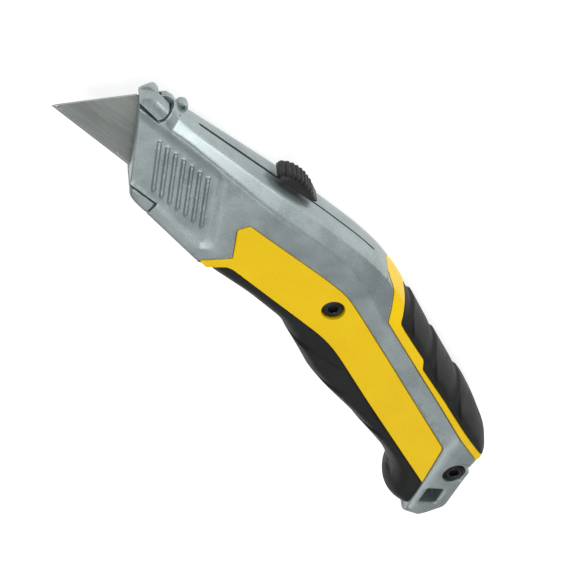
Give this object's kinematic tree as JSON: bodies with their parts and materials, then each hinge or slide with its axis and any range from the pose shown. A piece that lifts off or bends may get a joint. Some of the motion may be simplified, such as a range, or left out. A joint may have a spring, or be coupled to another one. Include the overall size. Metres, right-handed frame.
{
  "type": "retractable utility knife",
  "caption": "Retractable utility knife with a die-cast body, moulded side panels, rubber grips, a sliding blade carriage with thumb button and a sprung nose lever for blade change.",
  "frame": {"origin": "a point on the flat outer face of the right side panel, under the middle of the handle; the knife lies on that face", "axes": "-X out of the nose along the blade travel, +X towards the tail, +Y towards the thumb button, +Z through the thickness towards the left side"},
  "size_m": [0.1887, 0.0706, 0.0216],
  "materials": {
    "cast_silver": "satin, fine-grained die casting",
    "yellow_panel": "smooth moulded plastic, low sheen",
    "black_rubber": "soft moulded rubber, matte",
    "black_steel": "black oxide",
    "blade_steel": "ground, brighter on the edge bevel",
    "sheet_steel": "bright pressed sheet",
    "black_plastic": "fine moulded texture"
  },
  "bodies": {
    "handle": {"left_shell": "cast_silver", "right_shell": "cast_silver", "nose_toe_piece": "cast_silver", "left_side_panel": "yellow_panel", "right_side_panel": "yellow_panel", "left_back_trim": "yellow_panel", "right_back_trim": "yellow_panel", "left_finger_grip": "black_rubber", "right_finger_grip": "black_rubber", "left_back_grip": "black_rubber", "right_back_grip": "black_rubber", "middle_screw": "black_steel", "tail_screw": "black_steel", "detent_rail": "black_plastic", "lever_pin": "sheet_steel", "lever_spring": "sheet_steel", "spare_blade_holder": "black_plastic", "spare_blade_1": "blade_steel", "spare_blade_2": "blade_steel", "spare_blade_3": "blade_steel", "spare_blade_4": "blade_steel"},
    "carriage": {"blade_carrier": "sheet_steel", "blade": "blade_steel", "blade_clip": "sheet_steel", "button_spring": "sheet_steel"},
    "button": {"thumb_button": "black_plastic", "lock_tab": "sheet_steel"},
    "lever": {"release_lever": "cast_silver"}
  },
  "joints": [
    {"name": "carriage_slide", "type": "slide", "parent": "handle", "child": "carriage", "axis": [1, 0, 0], "range_m": [0, 0.0305]},
    {"name": "button_press", "type": "slide", "parent": "carriage", "child": "button", "axis": [0, -1, 0], "range_m": [0, 0.0012], "stiffness_N_per_m": 300},
    {"name": "lever_lift", "type": "hinge", "parent": "handle", "child": "lever", "pos_m": [-0.0679, 0.0199, 0.0108], "axis": [0, 0, -1], "range_deg": [0, 12], "stiffness_Nm_per_rad": 0.05}
  ]
}
